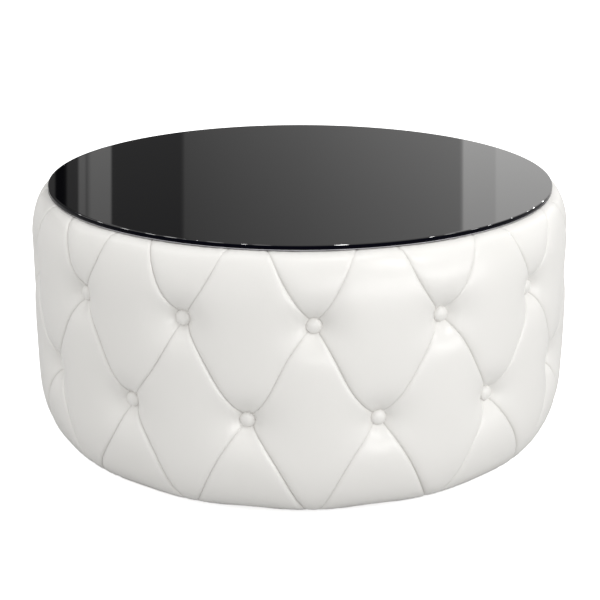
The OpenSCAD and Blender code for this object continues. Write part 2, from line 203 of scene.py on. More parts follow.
# The hand in the work: how far a pleat bows from its chord, and how far it swings one way and then
# the other, in mm, positive towards its lower side. The key is the row and twice the column of the
# pleat's lower end, counted from the first upper button.
LEFT_BOWS = {(2, -4): (-6, 0), (2, -2): (2, 6), (2, 0): (10, 2), (2, 2): (13, 4),
             (1, -3): (-9, 4), (1, 1): (8, 4), (0, -4): (-12, 6), (0, -2): (-12, 4),
             (0, 4): (-12, -2)}
RIGHT_BOWS = {(2, -4): (13, 5), (2, -2): (12, 2), (2, 4): (11, -4), (1, -3): (9, 0),
              (1, -1): (-2, 5), (0, -4): (2, -4), (0, 0): (-12, 2)}
USUAL_BOW = {0: (-5, 2), 1: (1, 2), 2: (8, 2)}    # of each row, where no entry says it
BOW_HAND, HAND_SHARES = 1.5, (1.0, 0.5)           # its spread, and both parts' shares of that


def hand_table(given, rng):
    """Bows for rows 0 to 2 and each half column."""
    spread = lambda: rng.normal(0, BOW_HAND, (2 * BUTTONS, 2)) * HAND_SHARES
    table = np.array([USUAL_BOW[row] + spread() for row in range(3)])
    for (row, k), pair in given.items():
        table[row, k % (2 * BUTTONS)] = pair
    return table


hand = np.random.default_rng(SEED)
LEFT_HAND, RIGHT_HAND = hand_table(LEFT_BOWS, hand), hand_table(RIGHT_BOWS, hand)
ACROSS = 0.823, 0.566             # square to a pleat, sideways and down
BOW_FADE = 0.3                    # rows over which the bows fade towards both hems


def bow_at(table, iu, iv, t):
    """How far the pleat from a point of the lattice bows, at a share of its length."""
    pair = table[np.clip(iu + iv, 0, 2), (iu - iv) % (2 * BUTTONS)]
    return pair[..., 0] * np.sin(np.pi * t) + pair[..., 1] * np.sin(2 * np.pi * t)


def places(u, v):
    """Distance round the side from the first button's line, and distance along the outline."""
    iu, iv = np.floor(u).astype(int), np.floor(v).astype(int)
    fu, fv = u - iu, v - iv
    side, up = np.zeros(u.shape), np.zeros(u.shape)
    for a in (0, 1):
        near_u, near_v = np.cos(np.pi / 2 * (fu - a)) ** 2, np.cos(np.pi / 2 * (fv - a)) ** 2
        left = near_u * bow_at(LEFT_HAND, iu + a, iv, fv)
        right = near_v * bow_at(RIGHT_HAND, iu, iv + a, fu)
        side += ACROSS[0] * (right - left)
        up -= ACROSS[1] * (right + left)
    row = u + v
    edge = np.clip(np.minimum(row, 3 - row) / BOW_FADE, 0, 1)
    return (u - v) / 2 * PITCH_LEN + side, np.interp(row, ROWS, ROW_D) + up * edge


def nearest_button(u, v, x, y):
    """Distance along the surface to the nearest button, the direction from it, and its place in the
    hand's tables."""
    iu, iv = np.floor(u).astype(int), np.floor(v).astype(int)
    best = np.full(x.shape, np.inf)
    turn, which = np.zeros(x.shape), np.zeros(x.shape, int)
    for a in (0, 1):
        for b in (0, 1):
            bx, by = places((iu + a).astype(float), (iv + b).astype(float))
            row = iu + iv + a + b
            d = np.hypot(x - bx, y - by)
            nearer = ((row == 1) | (row == 2)) & (d < best)
            best = np.where(nearer, d, best)
            turn = np.where(nearer, np.arctan2(y - by, x - bx), turn)
            which = np.where(nearer, (iu + a - iv - b) % (2 * BUTTONS), which)
    return best, turn, which


def soft_or(a, b):
    return 1 - (1 - a) * (1 - b)


VALLEY, VALLEY_W = 3.0, 15.0      # broad dip beside a pleat, and its reach
# Towards the seam the pleats flatten, from a distance along the outline, over a length, by a share
SHOULDER_D, SHOULDER_REACH, SHOULDER_FLAT = SEAM_D - 91.5, 60.0, 0.7
# They end just past the turns at the foot and at the seam, and fade over these lengths
CALM_PAST, CALM_LOW, CALM_HIGH = 4.0, 26.0, 22.0
# Dip behind a button: its depth, where it starts to rise and how fast, where it ends and its fade
HOLLOW, HOLLOW_FROM, HOLLOW_W, HOLLOW_TO, HOLLOW_FADE = 21.1, 12.0, 17.0, 92.0, 50.0
LEVEL_IN, LEVEL_FADE = 1.0, 1.7   # the leather lies level from this far inside a button's edge
FOLD_PAST, FOLD_FADE = 1.0, 5.0   # folds end this far inside it, and fade over this length
GROOVE_W, GROOVE_LAP_W = 1.1, 0.45      # reach of a pleat's line, outwards and into the lap
# Laps of both kinds of pleats: drop, reach of the drop, width of the roll and depth of the line
LEFT_LAP, RIGHT_LAP = (2.8, 4.5, 7.0, 0.7), (1.6, 4.5, 4.5, 0.7)
RIGHT_PAINTED_SHADE = 0.5                # share of painted shade that the line of a right-leaning pleat gets, beside the other's
STEEPEST = 0.99                   # share of the roll's quarter circle that is drawn


def groove_at(s):
    """The line in a pleat, sharp on the side of the panel that is folded over."""
    return np.exp(-np.where(s > 0, s / GROOVE_W, -s / GROOVE_LAP_W))


def lap(s, drop, reach, roll_w, groove):
    """Depth across a pleat where the panel at s < 0 is folded over the one at s > 0: it rolls over
    its edge and drops to the panel below."""
    over = np.clip(1 + s / roll_w, 0, 1)
    roll = drop * (1 - np.sqrt(1 - np.minimum(over, STEEPEST) ** 2))
    below = drop * np.exp(-np.maximum(s, 0) / reach)
    return np.where(s < 0, roll, below) + groove * groove_at(s)


# Small folds round each button: how many, their depth, width in radians, reach and fade
PUCKERS, PUCKER, PUCKER_W, PUCKER_REACH, PUCKER_FADE = 7, 0.55, 0.11, 46.0, 4.0
PUCKER_TURNS = hand.uniform(-np.pi, np.pi, (2 * BUTTONS, PUCKERS))
PUCKER_DEPTHS = hand.uniform(-0.3, 1.0, (2 * BUTTONS, PUCKERS)) * PUCKER


def puckers(d, turn, which):
    """Depth of the small folds that run out from a button."""
    depth = np.zeros(d.shape)
    for i in range(PUCKERS):
        off = np.angle(np.exp(1j * (turn - PUCKER_TURNS[which, i])))
        depth += PUCKER_DEPTHS[which, i] * np.exp(-(off / PUCKER_W) ** 2)
    reach = np.clip((PUCKER_REACH - d) / (PUCKER_REACH - BUTTON_R), 0, 1)
    return depth * reach ** 2 * np.clip((d - BUTTON_R) / PUCKER_FADE, 0, 1)


def tuft(u, v, creased=True):
    """Depth of the surface below the full outline, and a mask of painted shade along the pleats'
    lines.
    """
    x, y = places(u, v)
    from_left, from_right = (u - np.round(u)) * PANEL_W, (v - np.round(v)) * PANEL_W
    valley = soft_or(np.exp(-np.abs(from_left) / VALLEY_W), np.exp(-np.abs(from_right) / VALLEY_W))
    # Painted shade in the leather's colour, along the lines of both kinds of pleats
    painted_shade = soft_or(groove_at(from_left), RIGHT_PAINTED_SHADE * groove_at(-from_right))
    d, turn, which = nearest_button(u, v, x, y)
    # Pleats flatten out where the leather is pulled under the base and over the deck
    calm = np.clip(np.minimum((y + CALM_PAST) / CALM_LOW, (SEAM_D + CALM_PAST - y) / CALM_HIGH),
                   0, 1)
    away = np.clip((d - BUTTON_R + FOLD_PAST) / FOLD_FADE, 0, 1)
    # The panels' edges come together again where the side turns in under the glass
    steep = 1 - SHOULDER_FLAT * np.clip((y - SHOULDER_D) / SHOULDER_REACH, 0, 1)
    depth = VALLEY * valley * calm ** 2 * steep
    if creased:
        folds = lap(from_left, *LEFT_LAP) + lap(-from_right, *RIGHT_LAP)
        depth = depth + folds * calm * away * steep + puckers(d, turn, which)
    hollow = HOLLOW * np.exp(-np.maximum(d - HOLLOW_FROM, 0) / HOLLOW_W)
    depth = depth + hollow * np.clip((HOLLOW_TO - d) / HOLLOW_FADE, 0, 1)
    under = np.clip((BUTTON_R - LEVEL_IN - d) / LEVEL_FADE, 0, 1)
    under = under * under * (3 - 2 * under)
    return depth * (1 - under) + DIMPLE * under, painted_shade * calm


TAIL = 30.0                       # length of the foam's ends that is drawn in
# How much further in the foam stays at the foot, up to where, and over what length it fades
FOOT_CLEAR, FOOT_CLEAR_TO, FOOT_CLEAR_FADE = 1.5, 60.0, 20.0


def drawn_in(y, low, high):
    """Distances along the outline, with both tails drawn in so that they end at low and high."""
    y = np.where(y > high - TAIL,
                 high - TAIL + (y - high + TAIL) * TAIL / (ROW_D[-1] - high + TAIL), y)
    return np.where(y < low + TAIL,
                    low + TAIL + (y - low - TAIL) * TAIL / (low + TAIL - ROW_D[0]), y)


def round_axis(r, x, z):
    """Points in metres, from radii, distances round the side and heights."""
    a = PHASE + x / PITCH_LEN * PITCH
    return np.stack([r * np.sin(a), -r * np.cos(a), z], -1) * MM


def surface(u, v, below=0.0, creased=True, ends=None):
    """Points of the tufted surface, in metres, at a depth below the leather's face."""
    x, y = places(u, v)
    depth = tuft(u, v, creased)[0] + below
    if ends:
        depth = depth + FOOT_CLEAR * np.clip((FOOT_CLEAR_TO - y) / FOOT_CLEAR_FADE, 0, 1)
        y = drawn_in(y, *ends)
    r, z = outline_at(y)
    nr, nz = inward_at(y)
    return round_axis(r + nr * depth, x, z + nz * depth).reshape(-1, 3)


def ring(r, z, u, v):
    """A plain ring of points in line with one line of a lattice."""
    return round_axis(r, places(u, v)[0], np.full(u.shape, z))


# ---------------------------------------------------------------- pieces


def new_object(name, points, faces, smooth=True):
    mesh = bpy.data.meshes.new(name)
    mesh.from_pydata(np.asarray(points).tolist(), [], faces)
    mesh.update()
    if smooth:
        mesh.shade_smooth()
    obj = bpy.data.objects.new(name, mesh)
    bpy.context.scene.collection.objects.link(obj)
    return obj


def add_attribute(obj, name, values):
    layer = obj.data.attributes.new(name, "FLOAT", "POINT")
    layer.data.foreach_set("value", np.asarray(values, np.float32))


def finish_piece(obj, slot, body, replaced):
    obj.data.materials.append(MATERIALS[slot])
    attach(obj, body)
    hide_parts(replaced)


def turned(name, section, segments):
    """A turned piece from a closed half section of (r, z) in mm, drawn from the top middle outwards
    and back underneath. A radius of 0 is a point on the axis."""
    points, rings = [], []
    angles = np.linspace(0, 2 * np.pi, segments, endpoint=False)
    for r, z in section:
        rings.append((len(points), r == 0))
        around = angles if r else angles[:1]
        points += [(r * math.sin(a), -r * math.cos(a), z) for a in around]
    faces = []
    for (a, a_point), (b, b_point) in zip(rings, rings[1:] + rings[:1]):
        if a_point and b_point:
            continue
        for j in range(segments):
            n = (j + 1) % segments
            if a_point:
                faces.append((a, b + j, b + n))
            elif b_point:
                faces.append((a + j, b, a + n))
            else:
                faces.append((a + j, b + j, b + n, a + n))
    return new_object(name, np.array(points) * MM, faces)


MOST_CUT = 0.48                   # most of a side that the rounding of a corner takes


def rounded(corners, steps=4):
    """A closed section through corners (r, z, radius), each rounded to about its radius."""
    out = []
    for i, (r, z, radius) in enumerate(corners):
        if radius == 0:
            out.append((r, z))
            continue
        p = np.array((r, z))
        before = np.array(corners[i - 1][:2]) - p
        after = np.array(corners[(i + 1) % len(corners)][:2]) - p
        lengths = np.linalg.norm(before), np.linalg.norm(after)
        before, after = before / lengths[0], after / lengths[1]
        half = math.acos(float(np.clip(before @ after, -1, 1))) / 2
        cut = min(radius / math.tan(half), MOST_CUT * min(lengths))
        for t in np.linspace(0, 1, steps + 1):
            out.append(tuple(p + before * cut * (1 - t) ** 2 + after * cut * t ** 2))
    return out


def tufted_piece(name, steps, swell, outside, over, inside, under, ends=None):
    """A closed ring-shaped piece. outside and inside are the depths of its tufted faces, over and
    under the plain rings (r, z) that join them. Without an inside the rings alone close it."""
    u, v = lattice(steps)
    rows, cols = u.shape
    last, count = (rows - 1) * cols, rows * cols
    moved = swell(u, v)
    points = [surface(u, v, outside, inside is not None, ends) + moved]
    faces = lattice_faces(rows, cols)
    rings = [last]
    for r, z in over:
        points.append(ring(r, z, u[-1], v[-1]))
        rings.append(count)
        count += cols
    if inside is not None:
        points.append(surface(u, v, inside) + moved)
        faces += lattice_faces(rows, cols, count, flip=True)
        faces += ring_faces(rings + [count + last], cols)
        rings = [count]
        count += rows * cols
    for r, z in under:
        points.append(ring(r, z, u[0], v[0]))
        rings.append(count)
        count += cols
    faces += ring_faces(rings + [0], cols)
    return new_object(name, np.concatenate(points), faces), u, v


# ---------------------------------------------------------------- materials


def maths_node(tree, operation, values, clamp):
    made = tree.nodes.new("ShaderNodeMath")
    made.operation, made.use_clamp = operation, clamp
    for socket, value in zip(made.inputs, values):
        if isinstance(value, (int, float)):
            socket.default_value = value
        else:
            tree.links.new(value, socket)
    return made.outputs[0]


class Shader:
    """A node material with one Principled shader, and short calls to build its patterns."""

    def __init__(self, name, colour, roughness, **sockets):
        self.material = bpy.data.materials.new(name)
        self.material.use_nodes = True
        self.tree = self.material.node_tree
        self.bsdf = self.tree.nodes["Principled BSDF"]
        self.bsdf.inputs["Base Color"].default_value = (*colour, 1)
        self.bsdf.inputs["Roughness"].default_value = roughness
        for socket, value in sockets.items():
            self.bsdf.inputs[socket.replace("_", " ")].default_value = value
        self.where = self.node("ShaderNodeTexCoord").outputs["Object"]

    def node(self, kind, **settings):
        made = self.tree.nodes.new(kind)
        for key, value in settings.items():
            setattr(made, key, value)
        return made

    def link(self, source, target):
        self.tree.links.new(source, target)

    def place(self, scale):
        """Coordinates in metres, stretched by a scale for each axis."""
        mapping = self.node("ShaderNodeMapping")
        mapping.inputs["Scale"].default_value = scale
        self.link(self.where, mapping.inputs["Vector"])
        return mapping.outputs["Vector"]

    def noise(self, scale, detail=2.0, rough=0.5, where=None, distortion=0.0):
        made = self.node("ShaderNodeTexNoise")
        made.inputs["Scale"].default_value = scale
        made.inputs["Detail"].default_value = detail
        made.inputs["Roughness"].default_value = rough
        made.inputs["Distortion"].default_value = distortion
        self.link(where or self.where, made.inputs["Vector"])
        return made.outputs["Fac"]

    def cells(self, scale, feature="F1", randomness=1.0):
        made = self.node("ShaderNodeTexVoronoi", feature=feature)
        made.inputs["Scale"].default_value = scale
        made.inputs["Randomness"].default_value = randomness
        self.link(self.where, made.inputs["Vector"])
        return made.outputs["Distance"]

    def waves(self, direction, scale, distortion=0.0):
        made = self.node("ShaderNodeTexWave", wave_type="BANDS", bands_direction=direction)
        made.inputs["Scale"].default_value = scale
        made.inputs["Distortion"].default_value = distortion
        self.link(self.where, made.inputs["Vector"])
        return made.outputs["Fac"]

    def maths(self, operation, *values, clamp=False):
        return maths_node(self.tree, operation, values, clamp)

    def ramp(self, source, stops):
        """Colours or greys at places from 0 to 1."""
        made = self.node("ShaderNodeValToRGB")
        elements = made.color_ramp.elements
        while len(elements) < len(stops):
            elements.new(0.5)
        for element, (at, colour) in zip(elements, stops):
            element.position = at
            element.color = (*colour, 1) if isinstance(colour, tuple) else (colour,) * 3 + (1,)
        self.link(source, made.inputs["Fac"])
        return made.outputs["Color"]

    def mix(self, factor, a, b):
        made = self.node("ShaderNodeMix", data_type="RGBA")
        self.link(factor, made.inputs["Factor"])
        for socket, value in ((made.inputs["A"], a), (made.inputs["B"], b)):
            if isinstance(value, tuple):
                socket.default_value = (*value, 1)
            else:
                self.link(value, socket)
        return made.outputs["Result"]

    def attribute(self, name):
        return self.node("ShaderNodeAttribute", attribute_name=name).outputs["Fac"]

    def colour(self, source):
        self.link(source, self.bsdf.inputs["Base Color"])

    def roughness(self, source, low, high):
        made = self.node("ShaderNodeMapRange")
        self.link(source, made.inputs["Value"])
        made.inputs["To Min"].default_value = low
        made.inputs["To Max"].default_value = high
        self.link(made.outputs["Result"], self.bsdf.inputs["Roughness"])

    def bump(self, *layers):
        """Layers of (height, depth in mm), each laid over the one before."""
        normal = None
        for height, depth in layers:
            made = self.node("ShaderNodeBump")
            made.inputs["Distance"].default_value = depth * MM
            self.link(height, made.inputs["Height"])
            if normal is not None:
                self.link(normal, made.inputs["Normal"])
            normal = made.outputs["Normal"]
        self.link(normal, self.bsdf.inputs["Normal"])


def leatherette():
    s = Shader("white_leatherette", (0.8, 0.79, 0.765), 0.34, Specular_IOR_Level=0.5)
    patches = s.noise(5.0, 3, 0.55)
    tint = s.mix(patches, (0.815, 0.806, 0.785), (0.795, 0.785, 0.762))
    # Painted shade: the colour darkens along the pleats' lines and in the staple pulls, as the point
    # attribute says
    folds = s.maths("MULTIPLY", s.attribute("painted_shade"), 0.55, clamp=True)
    s.colour(s.mix(folds, tint, (0.42, 0.40, 0.37)))
    s.roughness(s.noise(40.0, 4), 0.27, 0.38)
    grain = s.cells(900.0, "SMOOTH_F1")
    pores = s.noise(2600.0, 2)
    soft = s.noise(22.0, 3, 0.5)
    s.bump((soft, 0.5), (grain, 0.06), (pores, 0.02))
    return s.material


def black_glass():
    s = Shader("black_glass", (0.002, 0.002, 0.003), 0.02, IOR=1.52)
    s.colour(s.mix(s.noise(3.0), (0.0012, 0.0012, 0.002), (0.0024, 0.0024, 0.0034)))
    s.roughness(s.noise(14.0, 4, 0.6), 0.015, 0.035)
    return s.material


def glass_edge():
    s = Shader("black_glass_edge", (0.001, 0.001, 0.004), 0.12, IOR=1.5, Specular_IOR_Level=0.03)
    s.roughness(s.noise(90.0, 4, 0.6), 0.08, 0.2)
    return s.material


def painted_reflection_bevel():
    s = Shader("lower_bevel_painted_reflection", (0.2, 0.195, 0.215), 0.5, IOR=1.5)
    frost = s.noise(1200.0, 3, 0.6)
    # The bevel is ground to a satin finish, and its light lilac grey is a painted reflection of the
    # white leather below
    s.colour(s.mix(frost, (0.62, 0.61, 0.66), (0.74, 0.73, 0.77)))
    s.bump((frost, 0.02))
    return s.material


def silicone():
    s = Shader("clear_silicone", (0.86, 0.88, 0.9), 0.22, IOR=1.41, Transmission_Weight=0.75)
    s.roughness(s.noise(300.0), 0.16, 0.3)
    s.bump((s.noise(900.0), 0.02))
    return s.material


def foam():
    s = Shader("foam", (0.86, 0.8, 0.62), 0.95)
    holes = s.cells(700.0)
    s.colour(s.mix(s.ramp(holes, [(0.0, 0.0), (0.6, 1.0)]), (0.93, 0.88, 0.7), (0.7, 0.62, 0.42)))
    s.bump((holes, 0.4), (s.noise(1800.0), 0.1))
    return s.material


def plywood():
    s = Shader("plywood", (0.72, 0.55, 0.36), 0.62)
    along = s.place((4.0, 60.0, 60.0))
    grain = s.noise(1.6, 5, 0.6, along, 0.6)
    face = s.ramp(grain, [(0.3, (0.55, 0.38, 0.21)), (0.5, (0.72, 0.54, 0.34)),
                          (0.72, (0.83, 0.68, 0.48))])
    plies = s.waves("Z", 110.0, 0.4)
    normal = s.node("ShaderNodeSeparateXYZ")
    s.link(s.node("ShaderNodeNewGeometry").outputs["Normal"], normal.inputs[0])
    upright = s.maths("SUBTRACT", 1.0, s.maths("ABSOLUTE", normal.outputs["Z"]), clamp=True)
    edge = s.mix(plies, (0.45, 0.29, 0.15), (0.78, 0.6, 0.4))
    s.colour(s.mix(upright, face, edge))
    s.roughness(grain, 0.55, 0.75)
    s.bump((grain, 0.15))
    return s.material


def softwood():
    s = Shader("softwood", (0.78, 0.62, 0.42), 0.6)
    along = s.place((70.0, 5.0, 5.0))
    grain = s.noise(1.5, 4, 0.55, along, 0.8)
    s.colour(s.ramp(grain, [(0.3, (0.62, 0.43, 0.24)), (0.52, (0.8, 0.63, 0.42)),
                            (0.75, (0.88, 0.74, 0.54))]))
    s.roughness(grain, 0.5, 0.7)
    s.bump((grain, 0.12), (s.noise(500.0), 0.04))
    return s.material


def hardboard():
    s = Shader("hardboard", (0.36, 0.22, 0.13), 0.55)
    fibres = s.noise(240.0, 5, 0.7)
    s.colour(s.mix(fibres, (0.24, 0.13, 0.07), (0.46, 0.29, 0.17)))
    s.roughness(fibres, 0.45, 0.7)
    s.bump((fibres, 0.05))
    return s.material


def steel(name, light, dark, low, high):
    s = Shader(name, light, 0.35, Metallic=1.0)
    stains = s.noise(160.0, 4, 0.6)
    s.colour(s.mix(stains, dark, light))
    s.roughness(stains, low, high)
    s.bump((s.noise(1500.0), 0.01))
    return s.material


def twine():
    s = Shader("twine", (0.88, 0.87, 0.82), 0.7)
    strands = s.waves("DIAGONAL", 700.0)
    s.colour(s.mix(strands, (0.7, 0.68, 0.6), (0.93, 0.92, 0.87)))
    s.bump((strands, 0.15))
    return s.material


def moulded(name, light, dark, low, high):
    s = Shader(name, light, low)
    s.colour(s.mix(s.noise(60.0, 3), dark, light))
    s.roughness(s.noise(400.0, 2), low, high)
    s.bump((s.noise(1800.0, 2), 0.02))
    return s.material


def dust_cloth():
    s = Shader("dust_cloth", (0.03, 0.03, 0.032), 0.9)
    dots = s.cells(600.0, randomness=0.15)
    fibres = s.noise(900.0, 4, 0.7)
    s.colour(s.mix(fibres, (0.018, 0.018, 0.02), (0.05, 0.05, 0.052)))
    s.bump((dots, 0.08), (fibres, 0.05))
    return s.material


MATERIALS = {
    "black_glass": black_glass(),
    "clear_silicone": silicone(),
    "white_leatherette": leatherette(),
    "foam": foam(),
    "plywood": plywood(),
    "softwood": softwood(),
    "hardboard": hardboard(),
    "staple_steel": steel("staple_steel", (0.72, 0.72, 0.74), (0.5, 0.5, 0.52), 0.25, 0.5),
    "screw_steel": steel("screw_steel", (0.8, 0.68, 0.38), (0.6, 0.46, 0.22), 0.25, 0.5),
    "twine": twine(),
    "toggle_plastic": moulded("toggle_plastic", (0.5, 0.5, 0.5), (0.42, 0.42, 0.43), 0.4, 0.6),
    "dust_cloth": dust_cloth(),
    "glide_plastic": moulded("glide_plastic", (0.05, 0.05, 0.055), (0.03, 0.03, 0.034), 0.35, 0.55),
}


def dress_frame():
    """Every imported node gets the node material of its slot."""
    for part in frame["record"]["subparts"]:
        mesh = nodes[part["node"]].data
        material = MATERIALS[part["material_slot"]]
        if not mesh.materials:
            mesh.materials.append(material)
        for i in range(len(mesh.materials)):
            mesh.materials[i] = material


dress_frame()

# ---------------------------------------------------------------- cloth simulation of the side

START_IN = 3.0                    # the panels start this much lower, in mm, and swell
SWELL_CAP = 4.5                   # furthest move from the drawn shape, in mm
SWELL_FRAMES = 20
HELD_ROUND, HELD_LOW, HELD_HIGH = 3.0, 4.0, 12.0     # held in mm round buttons, at foot and seam


def hold_points(obj, u, v):
    """Pins the cloth at its buttons, its pleats and its two hems."""
    held = obj.vertex_groups.new(name="held")
    x, y = places(u, v)
    d = nearest_button(u, v, x, y)[0]
    pleat = np.minimum(np.abs(u - np.round(u)), np.abs(v - np.round(v))) < 1e-6
    fixed = (d < BUTTON_R + HELD_ROUND) | pleat | (y < HELD_LOW) | (y > SEAM_D - HELD_HIGH)
    for i in np.flatnonzero(fixed.ravel()):
        held.add([int(i)], 1.0, "REPLACE")
    return held.name


def simulate_side(steps):
    """How far each point of the side's lattice moves, in mm, when it is blown up as cloth against
    its buttons and pleats."""
    u, v = lattice(steps)
    middle = (np.sin(np.pi * u) * np.sin(np.pi * v)) ** 2
    drawn = surface(u, v, creased=False)
    obj = new_object("swelling", surface(u, v, START_IN * np.sqrt(middle), creased=False),
                     lattice_faces(*u.shape))
    cloth = obj.modifiers.new("cloth", "CLOTH")
    rules = cloth.settings
    rules.quality = 6
    rules.mass = 0.3
    rules.tension_stiffness = rules.compression_stiffness = 25
    rules.shear_stiffness = 12
    rules.bending_stiffness = 2.0
    rules.vertex_group_mass = hold_points(obj, u, v)
    rules.shrink_min = -0.006
    rules.use_pressure = True
    rules.uniform_pressure_force = 5.0
    rules.effector_weights.gravity = 0
    cloth.collision_settings.use_collision = False
    cloth.point_cache.frame_start, cloth.point_cache.frame_end = 1, SWELL_FRAMES
    for number in range(1, SWELL_FRAMES + 1):
        bpy.context.scene.frame_set(number)
    made = obj.evaluated_get(bpy.context.evaluated_depsgraph_get()).data
    after = np.empty(len(made.vertices) * 3)
    made.vertices.foreach_get("co", after)
    bpy.context.scene.frame_set(1)
    bpy.data.objects.remove(obj)
    return (after.reshape(-1, 3) - drawn) / MM


def smoothed(grid):
    """Each move averaged with those of the points up and down the two pleats."""
    new = grid.copy()
    for r in range(1, len(grid) - 1):
        below, above = grid[r - 1], grid[r + 1]
        side = 1 if r % 2 == 0 else -1
        around = (below + np.roll(below, side, 0) + above + np.roll(above, side, 0)) / 4
        new[r] = (grid[r] + around) / 2
    return new


def capped(moves, most):
    """Moves that ease off towards a largest length."""
    length = np.linalg.norm(moves, axis=-1, keepdims=True)
    return moves * most * np.tanh(length / most) / np.maximum(length, 1e-9)


class Swell:
    """The simulated moves, read at any place of the lattice."""

    def __init__(self, steps):
        self.n, self.steps = len(steps), np.append(steps, 1.0)
        shape = 3 * self.n + 1, BUTTONS * self.n, 3
        self.grid = capped(smoothed(simulate_side(steps).reshape(shape)), SWELL_CAP)

    def at(self, p, q):
        row, col = p + q, (p - q) % (2 * BUTTONS * self.n)
        inside = (row >= 0) & (row <= 3 * self.n)
        return self.grid[np.clip(row, 0, 3 * self.n), col // 2] * inside[..., None]

    def __call__(self, u, v):
        p, fp = self.step(u)
        q, fq = self.step(v)
        fp, fq = fp[..., None], fq[..., None]
        moves = ((1 - fp) * ((1 - fq) * self.at(p, q) + fq * self.at(p, q + 1))
                 + fp * ((1 - fq) * self.at(p + 1, q) + fq * self.at(p + 1, q + 1)))
        return moves.reshape(-1, 3) * MM

    def step(self, u):
        """The lattice's step below a place, and the share of the step above it."""
        whole = np.floor(u + 1e-9)
        f = np.clip(u - whole, 0, 1)
        i = np.clip(np.searchsorted(self.steps, f + 1e-9, side="right") - 1, 0, self.n - 1)
        share = (f - self.steps[i]) / (self.steps[i + 1] - self.steps[i])
        return (whole * self.n + i).astype(int), share


# ---------------------------------------------------------------- side: leather over foam

FOAM_IN = LEATHER_T + 2.8         # the foam's face, below the leather's
FOAM_ENDS = 6.0, SEAM_D - 14      # where the foam ends along the outline
FOAM_GAP = 0.3                    # between the foam and the frame
# How dark the painted shade along the pleats' lines is
CREASE_PAINTED_SHADE = 0.8


def make_side():
    swell = Swell(FOAM_STEPS)
    leather, u, v = tufted_piece(
        "side_leather", FINE_STEPS, swell, 0.0, [], LEATHER_T,
        [(UNDER_HEM_R, FRAME_Z), (UNDER_HEM_R, UNDER_Z)])
    # Painted shade along the pleats' lines, kept as a point attribute for the leather's colour
    dark = np.zeros(len(leather.data.vertices))
    dark[:u.size] = (CREASE_PAINTED_SHADE * tuft(u, v)[1]).ravel()
    add_attribute(leather, "painted_shade", dark)
    finish_piece(leather, "white_leatherette", BODY, "side_cover")

    padding, _, _ = tufted_piece(
        "side_padding", FOAM_STEPS, swell, FOAM_IN, [(FOAM_WALL_R, DECK_TOP_Z + FOAM_GAP)], None,
        [(FOAM_WALL_R, FRAME_Z + FOAM_GAP)], FOAM_ENDS)
    finish_piece(padding, "foam", BODY, "side_foam")


make_side()

# ---------------------------------------------------------------- covered buttons

CAP_H, CAP_EDGE = 8.2, 0.9        # height of the dome, and of its rolled edge
CAP_SEGMENTS = 52
# Folds of the leather round the edge: how many, their depth, from where, and the share underneath
GATHERS, GATHER, GATHER_FROM, GATHER_UNDER = 13, 0.16, 8.5, 0.7
TILT = math.radians(2.5)


def cap_section():
    """Half section of a covered button, from its middle out and back under."""
    over = [(BUTTON_R * math.sin(a), CAP_EDGE + (CAP_H - CAP_EDGE) * math.cos(a))
            for a in np.radians(np.linspace(4, 90, 14))]
    under = [(BUTTON_R - CAP_EDGE * (1 - math.cos(a)), CAP_EDGE * (1 - math.sin(a)))
             for a in np.radians(np.linspace(0, 90, 6))[1:]]
    return [(0, CAP_H)] + over + under + [(0, 0)]


def make_caps(name, node, height, shift):
    """One row of covered buttons, each turned and tipped a little by hand."""
    section = cap_section()
    turns = np.linspace(0, 2 * np.pi, CAP_SEGMENTS, endpoint=False)
    points, faces = [], []
    for i in range(BUTTONS):
        first, spin = len(points), hand.uniform(0, 2 * np.pi)
        tip = hand.normal(0, TILT / 2, 2)
        angle = PHASE + (i + shift) * PITCH
        out = np.array((math.sin(angle), -math.cos(angle), 0))
        side, up = np.array((math.cos(angle), math.sin(angle), 0)), np.array((0, 0, 1.0))
        for s, h in section:
            share = np.clip((s - GATHER_FROM) / (BUTTON_R - GATHER_FROM), 0, 1)
            share *= 1 if h > CAP_EDGE else GATHER_UNDER
            for t in (turns if s else turns[:1]):
                reach = s - GATHER * share * (1 + math.cos(GATHERS * (t + spin)))
                across, along = reach * math.cos(t), reach * math.sin(t)
                lift = h + across * tip[0] + along * tip[1]
                points.append(out * (SIDE_R - BUTTON_BACK + lift) + side * across
                              + up * (height + along))
        rings = [first + 1 + k * CAP_SEGMENTS for k in range(len(section) - 1)]
        j = np.arange(CAP_SEGMENTS)
        n = (j + 1) % CAP_SEGMENTS
        faces += [(first, rings[0] + a, rings[0] + b) for a, b in zip(j, n)]
        for a, b in zip(rings[:-2], rings[1:-1]):
            faces += np.stack([a + j, b + j, b + n, a + n], 1).tolist()
        faces += [(rings[-2] + a, rings[-1], rings[-2] + b) for a, b in zip(j, n)]
    obj = new_object(name, np.array(points) * MM, faces)
    finish_piece(obj, "white_leatherette", BODY, node)


make_caps("upper_button_caps", "upper_buttons", UNDER_Z + UPPER_H, 0.0)
make_caps("lower_button_caps", "lower_buttons", UNDER_Z + LOWER_H, 0.5)

# ---------------------------------------------------------------- glass

GLASS_R, GLASS_Z, GLASS_T, BEVEL, LOW_BEVEL, ARRIS = 425.0, 416.0, 8.0, 1.0, 1.3, 0.35
FLAT_EDGE = 3.0                   # from the outermost ring of points on a flat face to its bevel
EDGE_OVER, GROUND_OVER = 0.1, 0.02      # slack in telling the upright edge and lower bevel apart


